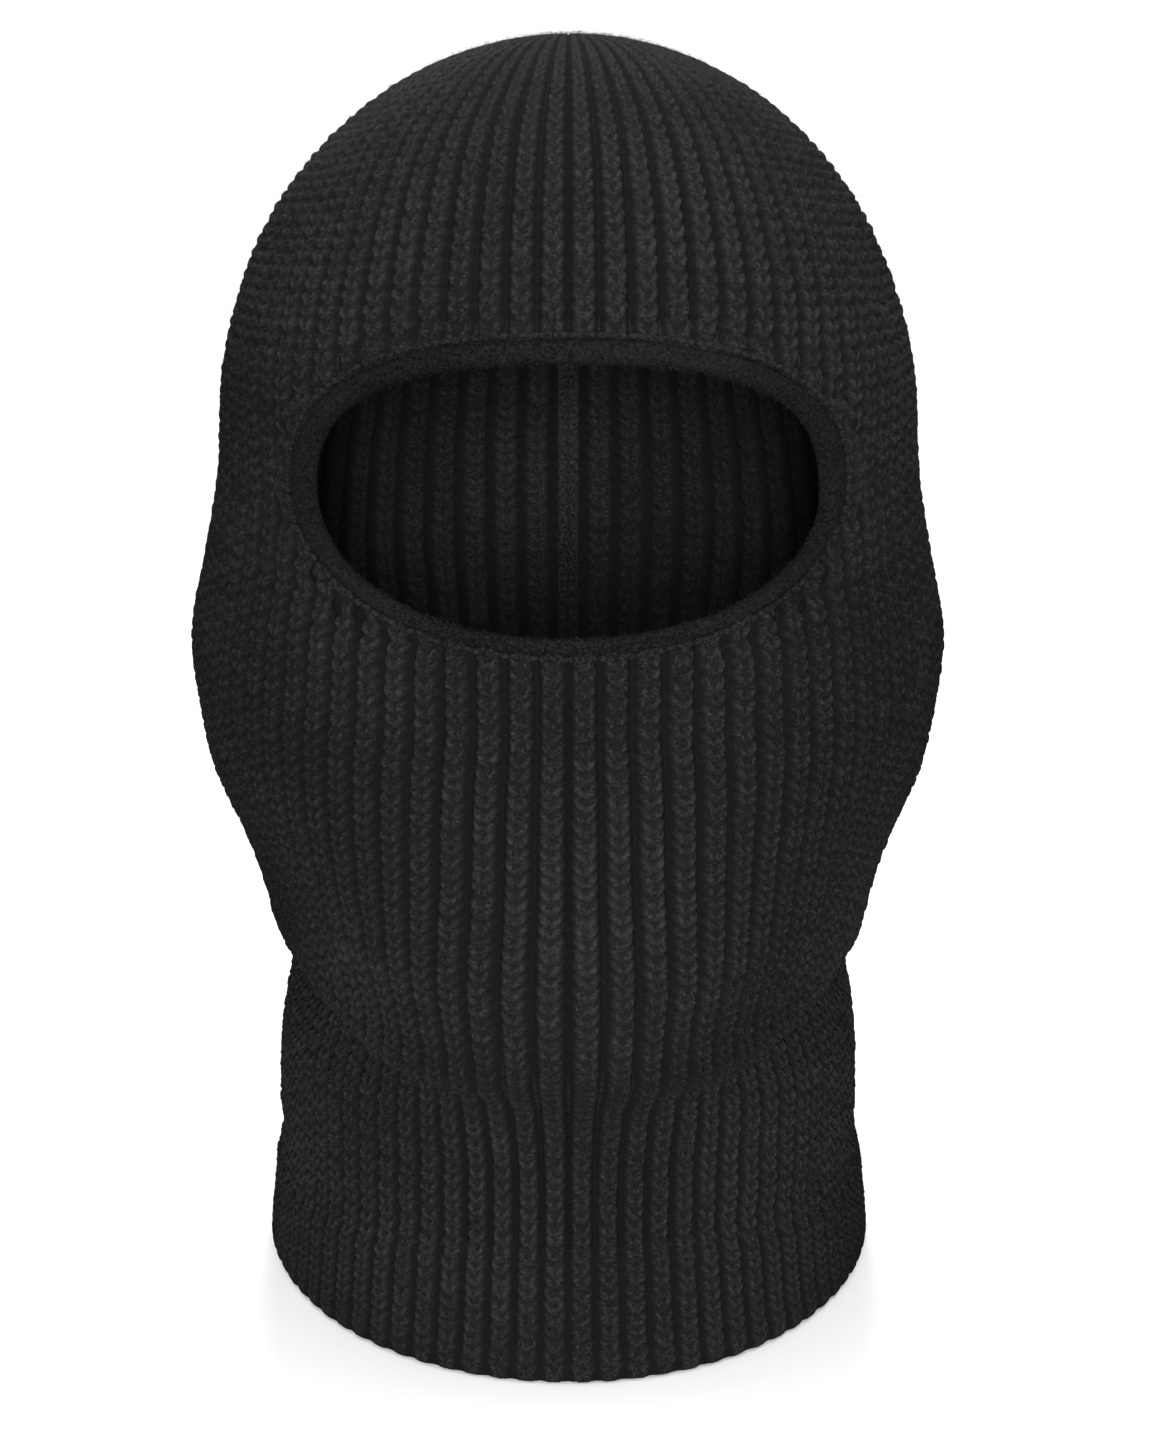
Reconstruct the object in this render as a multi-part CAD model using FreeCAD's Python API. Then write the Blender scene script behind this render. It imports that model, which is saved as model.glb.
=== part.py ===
"""One-hole rib-knit balaclava in the shape it has when worn, in millimetres.

The wearer faces -Y, +Z is up and +X is the wearer's left.  Everything is laid out by
its height above the hem and moved down by EYE_HEIGHT at the end, so that the origin
is the middle of the head at the level of the eyes.
"""
import FreeCAD, Part
import math
import os

from FreeCAD import Vector

# ---- driving dimensions: the worn outline -------------------------------------------
EYE_HEIGHT = 211.0      # middle of the eye opening above the hem
DOME_HEIGHT = 92.0      # eye level to the top of the crown
DOME_HALF_WIDTH = 83.5
DOME_FRONT = 111.0      # eye level, from the head's middle to the brow
DOME_BACK = 108.0
GATHER_BACK = 25.0      # the crown is drawn together this far behind its top
GATHER_RADIUS = 4.8     # flat ring of drawn loops that the ribs end on
DRAW_HOLE_RADIUS = 3.7  # hole left inside the drawn loops, for the yarn

# height above the hem, half width, depth to the front, depth to the back,
# narrowing towards the front, roundness of the corners (2 is an ellipse)
LEVELS = (
    (0.0, 76.0, 84.0, 80.0, 0.06, 2.0),       # hem
    (26.0, 74.5, 82.0, 73.0, 0.05, 2.0),
    (50.0, 73.0, 80.0, 70.0, 0.05, 2.05),     # neck
    (64.0, 72.2, 83.5, 70.0, 0.09, 2.1),
    (75.0, 71.5, 94.0, 71.0, 0.20, 2.1),      # underside of the jaw
    (86.0, 71.5, 106.0, 73.0, 0.27, 2.1),
    (98.0, 75.0, 111.0, 77.0, 0.27, 2.15),    # chin
    (114.0, 81.0, 112.0, 84.0, 0.25, 2.15),
    (136.0, 89.2, 114.0, 95.0, 0.20, 2.15),
    (160.0, 91.5, 118.0, 104.0, 0.14, 2.15),  # over the ears
    (180.0, 88.0, 119.0, 108.0, 0.09, 2.1),   # over the tip of the nose
)
TAPER_POWER = 1.3       # how late the narrowing towards the front sets in
RING_POINTS = 24        # points round each cross-section
LOWER_RINGS = 27        # cross-sections from the hem to eye level
DOME_RINGS = 7          # cross-sections between eye level and the gather

# ---- driving dimensions: fabric -----------------------------------------------------
KNIT = 4.2              # thickness of the stretched rib
HEM_HEIGHT = 31.0       # turned hem, two layers
HEM_PROUD = 0.8         # the turned hem stands out from the neck
NECK_TOP = 75.0         # where the neck tube runs into the jaw
HOOD_TOP = 254.0        # where the hood runs into the crown
CLEAR = 0.15            # between soft pieces of the same body

# ---- driving dimensions: eye opening ------------------------------------------------
EYE_HALF_WIDTH = 57.5
EYE_ABOVE = 33.0        # opening above eye level, at the middle
EYE_BELOW = 22.5
EYE_ROUND_ABOVE = 2.35  # roundness of the outline, 2 is an ellipse
EYE_ROUND_BELOW = 2.15
EYE_POINTS = 48
BAND_WIDTH = 6.0        # folded trim round the opening
BAND_PROUD = 0.7        # the trim is a little thicker than the knit, on both sides
LINK_WIDTH = 1.0        # linking stitches between the trim and the hood
LINK_DEPTH = 1.6
TACK_LENGTH = 9.0       # overlap where the two ends of the trim are joined
TACK_DEPTH = 1.0

# ---- driving dimensions: seams and small pieces -------------------------------------
SEAM_HALF_WIDTH = 3.2   # centre back seam allowance, inside
SEAM_DEPTH = 2.4
SEAM_LOW = 33.0
SEAM_HIGH = 286.0
THREAD = 0.9            # sewing thread, as a strip
YARN_RADIUS = 1.1
KNOT_RADIUS = 2.6
TAIL_LENGTH = 14.0
LABEL_WIDTH = 30.0
LABEL_LENGTH = 38.0
LABEL_THICK = 0.8       # two layers, folded at the bottom
LABEL_TOP = 73.0        # the hinge line, under the margin that is sewn to the seam
LABEL_MARGIN = 5.0
LABEL_STITCHES = 6
STITCH = 0.5            # how far a stitch stands out from the margin

EYE_LEVEL = (EYE_HEIGHT, DOME_HALF_WIDTH, DOME_FRONT, DOME_BACK, 0.03, 2.0)
BIG = 400.0
NODES = {}
FILLED = {}


def power(value, exponent):
    return math.copysign(abs(value) ** exponent, value)


# ---- the worn outline as a stack of rings -------------------------------------------
def slope_at(levels, k, column):
    """Slope of one column at level k that never makes the curve overshoot."""
    if k == 0 or k == len(levels) - 1:
        return 0.0
    below, here, above = levels[k - 1], levels[k], levels[k + 1]
    low = (here[column] - below[column]) / (here[0] - below[0])
    high = (above[column] - here[column]) / (above[0] - here[0])
    if low * high <= 0:
        return 0.0
    return 2 * low * high / (low + high)


def level_at(height):
    """The outline's measures at any height up to eye level, on smooth curves."""
    levels = LEVELS + (EYE_LEVEL,)
    k = 0
    while k < len(levels) - 2 and height > levels[k + 1][0]:
        k += 1
    span = levels[k + 1][0] - levels[k][0]
    t = (height - levels[k][0]) / span
    measures = [height]
    for column in range(1, len(levels[k])):
        start, end = levels[k][column], levels[k + 1][column]
        leaving = slope_at(levels, k, column) * span
        arriving = slope_at(levels, k + 1, column) * span
        value = (
            start * (1 - t) ** 2 * (1 + 2 * t)
            + leaving * t * (1 - t) ** 2
            + end * t ** 2 * (3 - 2 * t)
            + arriving * t ** 2 * (t - 1)
        )
        measures.append(value)
    return measures


def level_ring(level, inset):
    """Closed ring of points at one height, moved in by inset."""
    height, half_width, front, back, taper, roundness = level
    points = []
    for k in range(RING_POINTS):
        angle = 2 * math.pi * k / RING_POINTS
        across = power(math.sin(angle), 2 / roundness)
        along = power(math.cos(angle), 2 / roundness)
        depth = front if along > 0 else back
        narrow = 1 - taper * max(along, 0) ** TAPER_POWER
        x = (half_width - inset) * across * narrow
        y = -(depth - inset) * along
        points.append(Vector(x, y, height))
    return points


def dome_ring(lift, inset):
    """Closed ring on the dome: lift 0 is eye level and lift 1 is the gather."""
    gather_tilt = math.atan2(GATHER_BACK, DOME_HEIGHT)
    tilt = gather_tilt * math.sin(lift * math.pi / 2) ** 2
    pole = Vector(0, math.sin(tilt), math.cos(tilt))
    points = []
    for k in range(RING_POINTS):
        angle = 2 * math.pi * k / RING_POINTS
        level = Vector(math.sin(angle) * DOME_HALF_WIDTH, -math.cos(angle) * DOME_FRONT, 0)
        level.normalize()
        span = level.getAngle(pole)
        way = level * math.sin((1 - lift) * span) + pole * math.sin(lift * span)
        way.normalize()
        depth = DOME_FRONT if way.y < 0 else DOME_BACK
        reach = math.sqrt(
            (way.x / (DOME_HALF_WIDTH - inset)) ** 2
            + (way.y / (depth - inset)) ** 2
            + (way.z / (DOME_HEIGHT - inset)) ** 2
        )
        points.append(way / reach + Vector(0, 0, EYE_HEIGHT))
    return points


def ring_wire(points):
    curve = Part.BSplineCurve()
    evenly = [float(k) for k in range(len(points) + 1)]
    curve.interpolate(Points=points, PeriodicFlag=True, Parameters=evenly)
    return Part.Wire([curve.toShape()])


def gather_frame(inset):
    """Point and outward direction at the middle of the gather."""
    tilt = math.atan2(GATHER_BACK, DOME_HEIGHT)
    way = Vector(0, math.sin(tilt), math.cos(tilt))
    reach = math.sqrt(
        (way.y / (DOME_BACK - inset)) ** 2 + (way.z / (DOME_HEIGHT - inset)) ** 2
    )
    normal = Vector(0, way.y / DOME_BACK ** 2, way.z / DOME_HEIGHT ** 2)
    normal.normalize()
    return way / reach + Vector(0, 0, EYE_HEIGHT), normal


def gather_ring(inset):
    """Small flat ring that closes the stack at the gather."""
    centre, normal = gather_frame(inset)
    side = Vector(1, 0, 0)
    front = normal.cross(side)
    if front.y > 0:
        front = front * -1
    points = []
    for k in range(RING_POINTS):
        angle = 2 * math.pi * k / RING_POINTS
        spoke = side * math.sin(angle) + front * math.cos(angle)
        points.append(centre + spoke * GATHER_RADIUS)
    return points


def draw_hole():
    """Short cylinder through the knit at the gather."""
    inside, normal = gather_frame(2 * KNIT)
    return Part.makeCylinder(DRAW_HOLE_RADIUS, 3 * KNIT, inside, normal)


def filled(inset):
    """The whole worn outline as one filled solid, moved in by inset."""
    if inset not in FILLED:
        rings = []
        for k in range(LOWER_RINGS + 1):
            rings.append(level_ring(level_at(EYE_HEIGHT * k / LOWER_RINGS), inset))
        for k in range(1, DOME_RINGS):
            rings.append(dome_ring(k / DOME_RINGS, inset))
        rings.append(gather_ring(inset))
        FILLED[inset] = Part.makeLoft([ring_wire(ring) for ring in rings], True, False)
    return FILLED[inset]


def slab(low, high):
    box = Part.makeBox(BIG, BIG, high - low)
    box.translate(Vector(-BIG / 2, -BIG / 2, low))
    return box


def layer(outside, inside):
    """Closed skin between two insets of the outline."""
    return filled(outside).cut(filled(inside))


# ---- the eye opening ----------------------------------------------------------------
def eye_prism(grow):
    """Filled prism of the opening's outline, grown by grow, through the front."""
    points = []
    for k in range(EYE_POINTS):
        angle = 2 * math.pi * k / EYE_POINTS
        across, up = math.cos(angle), math.sin(angle)
        height = EYE_ABOVE if up > 0 else EYE_BELOW
        roundness = EYE_ROUND_ABOVE if up > 0 else EYE_ROUND_BELOW
        x = (EYE_HALF_WIDTH + grow) * power(across, 2 / roundness)
        z = EYE_HEIGHT + (height + grow) * power(up, 2 / roundness)
        points.append(Vector(x, -BIG / 2, z))
    face = Part.Face(ring_wire(points))
    return face.extrude(Vector(0, BIG / 2 - 20, 0))


def largest(shape):
    return max(shape.Solids, key=lambda solid: solid.Volume)


def keep(name, shape):
    NODES[name] = shape


# ---- the knit body, in the sections it is knitted in --------------------------------
def knit_sections():
    knit = layer(0, KNIT)
    hood = knit.common(slab(NECK_TOP, HOOD_TOP))
    hood = hood.cut(eye_prism(BAND_WIDTH + LINK_WIDTH + 2 * CLEAR))
    keep("hood_knit", largest(hood))
    crown = largest(knit.common(slab(HOOD_TOP, BIG)))
    keep("crown_knit", crown.cut(draw_hole()))
    keep("neck_knit", largest(knit.common(slab(HEM_HEIGHT, NECK_TOP))))
    hem = layer(-HEM_PROUD, KNIT).common(slab(0, HEM_HEIGHT))
    keep("hem_welt", largest(hem))


# ---- the trim round the eye opening -------------------------------------------------
def eye_trim():
    band = layer(-BAND_PROUD, KNIT + BAND_PROUD)
    band = band.common(eye_prism(BAND_WIDTH)).cut(eye_prism(0))
    keep("eye_band", largest(band))

    middle = KNIT / 2
    link = layer(middle - LINK_DEPTH / 2, middle + LINK_DEPTH / 2)
    link = link.common(eye_prism(BAND_WIDTH + CLEAR + LINK_WIDTH))
    link = link.cut(eye_prism(BAND_WIDTH + CLEAR))
    keep("band_linking_thread", largest(link))

    back = KNIT + BAND_PROUD + CLEAR
    tack = layer(back, back + TACK_DEPTH)
    tack = tack.common(eye_prism(BAND_WIDTH - 1)).cut(eye_prism(1))
    window = Part.makeBox(TACK_LENGTH, BIG, EYE_HEIGHT)
    window.translate(Vector(-TACK_LENGTH / 2, -BIG, 0))
    keep("band_join_tack", largest(tack.common(window)))


# ---- centre back seam ---------------------------------------------------------------
def back_strip(low, high, half_width, outside, inside):
    box = Part.makeBox(2 * half_width, BIG, high - low)
    box.translate(Vector(-half_width, 0, low))
    return largest(layer(outside, inside).common(box))


def back_seam():
    allowance_back = KNIT + CLEAR
    allowance_front = allowance_back + SEAM_DEPTH
    strip = back_strip(SEAM_LOW, SEAM_HIGH, SEAM_HALF_WIDTH, allowance_back, allowance_front)
    keep("back_seam_allowance", strip)
    thread_back = allowance_front + CLEAR
    thread = back_strip(
        SEAM_LOW + 1, SEAM_HIGH - 2, THREAD / 2, thread_back, thread_back + THREAD
    )
    keep("back_seam_thread", thread)


# ---- linking round the top of the turned hem, inside --------------------------------
def hem_linking():
    ring = layer(KNIT + CLEAR, KNIT + CLEAR + THREAD)
    ring = ring.common(slab(HEM_HEIGHT - THREAD / 2, HEM_HEIGHT + THREAD / 2))
    keep("hem_linking_thread", largest(ring))


# ---- the drawn-up crown -------------------------------------------------------------
def crown_gather():
    centre, normal = gather_frame(KNIT / 2)
    ring_radius = DRAW_HOLE_RADIUS - YARN_RADIUS - 3 * CLEAR
    ring = Part.makeTorus(ring_radius, YARN_RADIUS, centre, normal)
    keep("crown_draw_yarn", ring)

    inside, _ = gather_frame(KNIT)
    knot_centre = inside - normal * (KNOT_RADIUS + CLEAR)
    knot = Part.makeSphere(KNOT_RADIUS, knot_centre)
    tails = []
    for side in (-1, 1):
        way = Vector(side * 0.35, 0.1, -1)
        way.normalize()
        start = knot_centre + way * (KNOT_RADIUS * 0.6)
        tail = Part.makeCylinder(YARN_RADIUS, TAIL_LENGTH, start, way)
        tails.append(tail)
    keep("crown_knot", knot.fuse(tails).removeSplitter())


# ---- care label, sewn over the seam inside the back of the neck ---------------------
def label_sheet(y, low, high):
    sheet = Part.makeBox(LABEL_WIDTH, LABEL_THICK, high - low)
    sheet.translate(Vector(-LABEL_WIDTH / 2, y, low))
    return sheet


def care_label():
    """The free flap, and behind its hinge line the margin that is sewn down."""
    neck_back = min(level[3] for level in LEVELS)
    seam_front = neck_back - KNIT - SEAM_DEPTH - THREAD - 3 * CLEAR
    margin_back = seam_front - CLEAR - LABEL_THICK
    low = LABEL_TOP + 4 * CLEAR
    keep("label_margin", label_sheet(margin_back, low, low + LABEL_MARGIN))

    flap_back = margin_back - CLEAR - LABEL_THICK
    fold = LABEL_THICK / 2
    bottom = LABEL_TOP - LABEL_LENGTH + fold
    sheet = label_sheet(flap_back, bottom, LABEL_TOP)
    turn_at = Vector(-LABEL_WIDTH / 2, flap_back + fold, bottom)
    turn = Part.makeCylinder(fold, LABEL_WIDTH, turn_at, Vector(1, 0, 0))
    keep("care_label", sheet.fuse(turn).removeSplitter())

    pitch = LABEL_WIDTH / LABEL_STITCHES
    stitches = []
    for k in range(LABEL_STITCHES):
        stitch = Part.makeBox(0.6 * pitch, STITCH, THREAD)
        x = (k + 0.5) * pitch - LABEL_WIDTH / 2
        y = margin_back - CLEAR - STITCH
        stitch.translate(Vector(x - 0.3 * pitch, y, low + LABEL_MARGIN / 2))
        stitches.append(stitch)
    keep("label_stitches", Part.makeCompound(stitches))


def main():
    os.makedirs("parts", exist_ok=True)
    knit_sections()
    eye_trim()
    back_seam()
    hem_linking()
    crown_gather()
    care_label()
    for name, shape in NODES.items():
        shape.translate(Vector(0, 0, -EYE_HEIGHT))
        shape.exportStep(f"parts/{name}.step")
        box = shape.BoundBox
        print(
            f"{name:22s} valid {shape.isValid()} solids {len(shape.Solids)}"
            f" volume {shape.Volume / 1000:8.2f} cm3"
            f" x {box.XMin:7.1f} {box.XMax:7.1f}"
            f" y {box.YMin:7.1f} {box.YMax:7.1f} z {box.ZMin:7.1f} {box.ZMax:7.1f}"
        )


main()
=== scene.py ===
"""Looks of a rib-knit balaclava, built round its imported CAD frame, in metres.

The knit is real geometry: 72 ribs run from the turned hem to the gathered crown, and every
course of every rib is a V of two strands.  It is laid over the CAD shell, whose surface is
read with rays, so its size and place always follow the frame.
"""
import math

import bpy
import numpy as np
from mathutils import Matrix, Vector
from mathutils.bvhtree import BVHTree


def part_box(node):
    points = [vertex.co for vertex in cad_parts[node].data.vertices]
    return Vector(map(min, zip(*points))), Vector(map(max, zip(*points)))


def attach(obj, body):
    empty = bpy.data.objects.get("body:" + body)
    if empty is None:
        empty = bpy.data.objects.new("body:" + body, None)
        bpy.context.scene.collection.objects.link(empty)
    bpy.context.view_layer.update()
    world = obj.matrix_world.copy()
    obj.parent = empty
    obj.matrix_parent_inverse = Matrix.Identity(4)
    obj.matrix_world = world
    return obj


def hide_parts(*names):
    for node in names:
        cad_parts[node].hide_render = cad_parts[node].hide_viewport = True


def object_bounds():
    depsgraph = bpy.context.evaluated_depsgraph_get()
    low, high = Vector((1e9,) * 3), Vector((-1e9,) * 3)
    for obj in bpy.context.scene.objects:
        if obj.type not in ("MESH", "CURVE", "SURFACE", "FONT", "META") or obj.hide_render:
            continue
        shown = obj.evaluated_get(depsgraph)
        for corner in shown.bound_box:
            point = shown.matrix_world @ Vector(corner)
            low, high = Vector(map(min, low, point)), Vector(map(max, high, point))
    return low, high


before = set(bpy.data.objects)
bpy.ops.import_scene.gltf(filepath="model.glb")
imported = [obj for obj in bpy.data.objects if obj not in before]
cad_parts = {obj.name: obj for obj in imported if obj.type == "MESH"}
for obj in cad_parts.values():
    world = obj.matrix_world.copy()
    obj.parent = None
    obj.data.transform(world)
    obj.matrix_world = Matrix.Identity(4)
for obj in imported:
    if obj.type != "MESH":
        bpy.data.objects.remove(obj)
CAD_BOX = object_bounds()
MM = 0.001

# ---- the knit ----
RIBS = 72
COURSE = 3.15 * MM  # height of one course, averaged round the head
SECTORS = 18  # the tube is built in this many vertical pieces
RIB_BLOCKS = 4  # a block is the smallest patch that the opening can cut away
COURSE_BLOCKS = 2
OUTER_STEPS = 4  # samples along a block's side, outside and inside
INNER_STEPS = 2
RIB_DEPTH = 2.8 * MM
RIB_DEPTH_SHARE = 0.38  # of the rib's pitch, where the ribs are narrow
STRAND_HEIGHT = 0.95 * MM
STRAND_SHARE = 0.16  # of the rib's pitch, where the ribs are narrow
INNER_DEPTH = 1.1 * MM  # the inner face and the hem have lower relief
INNER_STRAND = 0.7 * STRAND_HEIGHT
SKIN_LIFT = 0.25 * MM  # how far the crests stand outside the CAD shell
SEED = 11

# share of the average pitch that a rib has at the middle of the front, by height: it is drawn
# together over the nose and at the throat, and stretched over the chin and the brow
FRONT_PITCH = (
    (-0.211, 0.96), (-0.160, 0.97), (-0.131, 1.15), (-0.105, 1.12), (-0.080, 0.89),
    (-0.045, 0.73), (0.000, 0.75), (0.015, 0.80), (0.048, 1.04), (0.087, 1.0),
)

# ---- hem, eye band and small pieces ----
HEM_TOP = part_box("neck_knit")[0].z
HEM_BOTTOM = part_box("hem_welt")[0].z
HEM_PROUD = 0.8 * MM  # how far the CAD hem stands out over the neck
HEM_DROP = 7.5 * MM  # how much lower its upper edge lies at the sides
BAND_PROUD = 0.7 * MM  # how far the CAD band stands out over the knit
BAND_WIDTH = 6.0 * MM
EYE_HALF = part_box("eye_band")[1].x - BAND_WIDTH
EYE_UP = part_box("eye_band")[1].z - BAND_WIDTH
EYE_DOWN = -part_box("eye_band")[0].z - BAND_WIDTH
ROUND_ABOVE = 2.35  # powers of the opening's outline: 2 is an ellipse, more is squarer
ROUND_BELOW = 2.15

rng = np.random.default_rng(SEED)


# ---- small sums ----
def unit(vectors):
    """The same directions, one long."""
    return vectors / np.linalg.norm(vectors, axis=-1, keepdims=True)


def lengths_along(line):
    """Length of a line of points up to each of them."""
    return np.concatenate([[0], np.cumsum(np.linalg.norm(np.diff(line, axis=0), axis=1))])


def read_off(points, along, at):
    """Points of a line at some lengths along it."""
    return np.stack([np.interp(at, along, column) for column in points.T], axis=1)


def squared(wave, power):
    """A sine or cosine drawn out towards 1 and -1, for sections with rounded corners."""
    return np.sign(wave) * np.abs(wave) ** power


def smooth_ring(points):
    """A closed line of points, each drawn towards its neighbours."""
    return (np.roll(points, 1, axis=0) + 2 * points + np.roll(points, -1, axis=0)) / 4


def circle(count):
    """Angles that go once round in equal steps."""
    return 2 * math.pi * np.arange(count) / count


def turn_from_front(ribs):
    """0 for a rib at the middle of the front, 1 at the middle of the back."""
    return np.abs(((ribs + RIBS / 2) % RIBS) - RIBS / 2) / (RIBS / 2)


# ---- reading the CAD shell ----
def shell_tree(*nodes):
    """Ray-cast tree of some CAD nodes."""
    points = []
    faces = []
    for name in nodes:
        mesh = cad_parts[name].data
        start = len(points)
        points.extend(v.co.copy() for v in mesh.vertices)
        faces.extend([start + i for i in p.vertices] for p in mesh.polygons)
    return BVHTree.FromPolygons(points, faces)


KNIT_TREE = shell_tree("hood_knit", "crown_knit", "neck_knit", "hem_welt")
BAND_TREE = shell_tree("eye_band")
HALF_TURN = 160  # directions from the middle of the front to the middle of the back
FAR = 0.4  # rays start so far from the centre outside, and so near inside
NEAR = 0.02
RINGS_BELOW = 106  # rings of the shell below eye level, and above it
RINGS_ABOVE = 80
LAST_LIFT = 0.966  # the ring where the ribs reach the gather
PUCKER_RINGS = 5
PUCKER_DRAWN = 0.62  # how far they draw the last ring together
PUCKER_DIP = (1.6 * MM, 0.2 * MM)  # how deep they dip, outside and inside


def reach(tree, centre, way, outside):
    """Distance from the centre to the shell along way, from outside or from inside."""
    if outside:
        hit = tree.ray_cast(centre + way * FAR, -way, FAR - NEAR)[0]
    else:
        hit = tree.ray_cast(centre + way * NEAR, way, FAR)[0]
    return math.nan if hit is None else (hit - centre).dot(way)


def fill_gap(radii):
    """Fills the eye opening in a grid of radii with the smoothest surface that meets its rim.

    The grid's first column is the middle of the front, so it is mirrored there.
    """
    unknown = np.isnan(radii)
    number = np.full(radii.shape, -1)
    number[unknown] = np.arange(unknown.sum())
    round_it = np.pad(unknown, 1)
    near = unknown | round_it[2:, 1:-1] | round_it[:-2, 1:-1] | round_it[1:-1, 2:] | round_it[1:-1, :-2]
    cells = np.argwhere(near)
    matrix = np.zeros((len(cells), unknown.sum()))
    known = np.zeros(len(cells))
    for equation, (i, j) in enumerate(cells):
        for up, across, weight in ((0, 0, -4), (1, 0, 1), (-1, 0, 1), (0, 1, 1), (0, -1, 1)):
            at = (i + up, abs(j + across))
            if unknown[at]:
                matrix[equation, number[at]] += weight
            else:
                known[equation] -= weight * radii[at]
    found = np.linalg.solve(matrix.T @ matrix, matrix.T @ known)
    filled = radii.copy()
    filled[unknown] = found
    return filled


def middle(node):
    """Middle of a CAD node's box."""
    low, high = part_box(node)
    return np.array((low + high) / 2)


GATHER = middle("crown_draw_yarn")
GATHER_TILT = math.atan2(GATHER[1], GATHER[2])
AXIS = unit(GATHER)
SIDE = np.array([1.0, 0, 0])
THIRD = np.cross(AXIS, SIDE)
BROW = (0.0835, 0.111)  # half width and front depth that the rings' directions follow


def ring_ways(height, lift):
    """Centre and directions of one half ring, from the front round to the back."""
    centre = Vector((0, 0, height))
    tilt = GATHER_TILT * math.sin(lift * math.pi / 2) ** 2
    pole = Vector((0, math.sin(tilt), math.cos(tilt)))
    ways = []
    for k in range(HALF_TURN + 1):
        angle = math.pi * k / HALF_TURN
        level = Vector((math.sin(angle) * BROW[0], -math.cos(angle) * BROW[1], 0)).normalized()
        span = level.angle(pole)
        way = level * math.sin((1 - lift) * span) + pole * math.sin(lift * span)
        ways.append(way.normalized())
    return centre, ways


def ring_radii(height, lift, outside):
    """Distances from a half ring's centre to the shell, without the band's extra thickness."""
    centre, ways = ring_ways(height, lift)
    radii = []
    for way in ways:
        found = reach(KNIT_TREE, centre, way, outside)
        if math.isnan(found):
            found = reach(BAND_TREE, centre, way, outside) + (-BAND_PROUD if outside else BAND_PROUD)
        if outside and height < HEM_TOP:
            found -= HEM_PROUD
        radii.append(found)
    return radii


def puckered(ring, depth):
    """More rings that draw the last one together and dip it into the gather."""
    centre = AXIS * np.linalg.norm(ring.mean(axis=0))
    centre[0] = 0
    rows = []
    for k in range(1, PUCKER_RINGS + 1):
        share = k / PUCKER_RINGS
        drawn = ring + (centre - ring) * PUCKER_DRAWN * share
        rows.append(drawn - AXIS * depth * share ** 2)
    return rows


def read_shell():
    """Half rings from the hem to the gather: outer and inner points, and the height code.

    The code is the height below eye level, and above it the lift times the crown's height.
    """
    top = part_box("crown_knit")[1].z
    lowest = HEM_BOTTOM + 0.4 * MM
    places = [(float(h), 0.0) for h in np.linspace(lowest, 0, RINGS_BELOW)]
    places += [(0.0, float(t)) for t in np.linspace(0, LAST_LIFT, RINGS_ABOVE)[1:]]
    faces = []
    for outside, dip in zip((True, False), PUCKER_DIP):
        radii = fill_gap(np.array([ring_radii(h, t, outside) for h, t in places]))
        rings = []
        for (height, lift), row in zip(places, radii):
            centre, ways = ring_ways(height, lift)
            rings.append([centre + way * r for way, r in zip(ways, row)])
        rings = np.array(rings)
        rings[1:-1] = (rings[:-2] + 2 * rings[1:-1] + rings[2:]) / 4
        faces.append(np.concatenate([rings, puckered(rings[-1], dip)]))
    code = [height + lift * top for height, lift in places]
    code += [code[-1] + 0.1 * MM * k for k in range(1, PUCKER_RINGS + 1)]
    return *faces, np.array(code)


OUTER, INNER, CODE = read_shell()


# ---- the knit's own coordinates ----
def course_numbers():
    """Number of courses below each ring of the shell."""
    steps = np.linalg.norm(np.diff(OUTER, axis=0), axis=2).mean(axis=1)
    return np.concatenate([[0], np.cumsum(steps)]) / COURSE


COURSES_AT = course_numbers()
HEM_COURSE = float(np.interp(HEM_TOP, CODE, COURSES_AT))
TOP_COURSE = math.floor(COURSES_AT[-1])
FIRST_COURSE = math.floor(HEM_COURSE) - 4  # down behind the hem's upper edge


def lay(shell, ribs, courses):
    """Points of the smooth shell at rib numbers (0 is the front) and course numbers."""
    rows = np.empty((len(courses), len(ribs), 3))
    turn = turn_from_front(ribs)
    side = np.where(((ribs + RIBS / 2) % RIBS) >= RIBS / 2, 1.0, -1.0)
    heights, shares = zip(*FRONT_PITCH)
    for row, course in enumerate(courses):
        at = np.interp(course, COURSES_AT, np.arange(len(COURSES_AT)))
        low = min(int(at), len(COURSES_AT) - 2)
        part = at - low
        guide = OUTER[low] * (1 - part) + OUTER[low + 1] * part
        half = shell[low] * (1 - part) + shell[low + 1] * part
        code = float(np.interp(course, COURSES_AT, CODE))
        share = float(np.interp(code, heights, shares))
        along = lengths_along(guide)
        warped = turn + (share - 1) * turn * (1 - turn) ** 2
        rows[row] = read_off(half, along, warped * along[-1])
        rows[row, :, 0] *= side
    return rows


def outward(points, wrapped):
    """Unit normals of a grid of points, away from the head."""
    if wrapped:
        across = np.roll(points, -1, axis=1) - np.roll(points, 1, axis=1)
    else:
        across = np.gradient(points, axis=1)
    up = np.gradient(points, axis=0)
    normal = np.cross(across, up)
    size = np.linalg.norm(normal, axis=2, keepdims=True)
    return normal / np.maximum(size, 1e-12)


def pitches(points):
    """Rib pitch at each column of a wrapped grid."""
    steps = np.linalg.norm(np.roll(points, -1, axis=1) - points, axis=2)
    return steps * points.shape[1] / RIBS


# ---- relief of the stitches ----
JITTER_COURSES = 160  # the unevenness of the strands repeats after so many courses
JITTER = rng.normal(0, 1, (4, JITTER_COURSES, RIBS))
RIB_WEIGHT = 1 + 0.06 * rng.normal(0, 1, RIBS)

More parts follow.
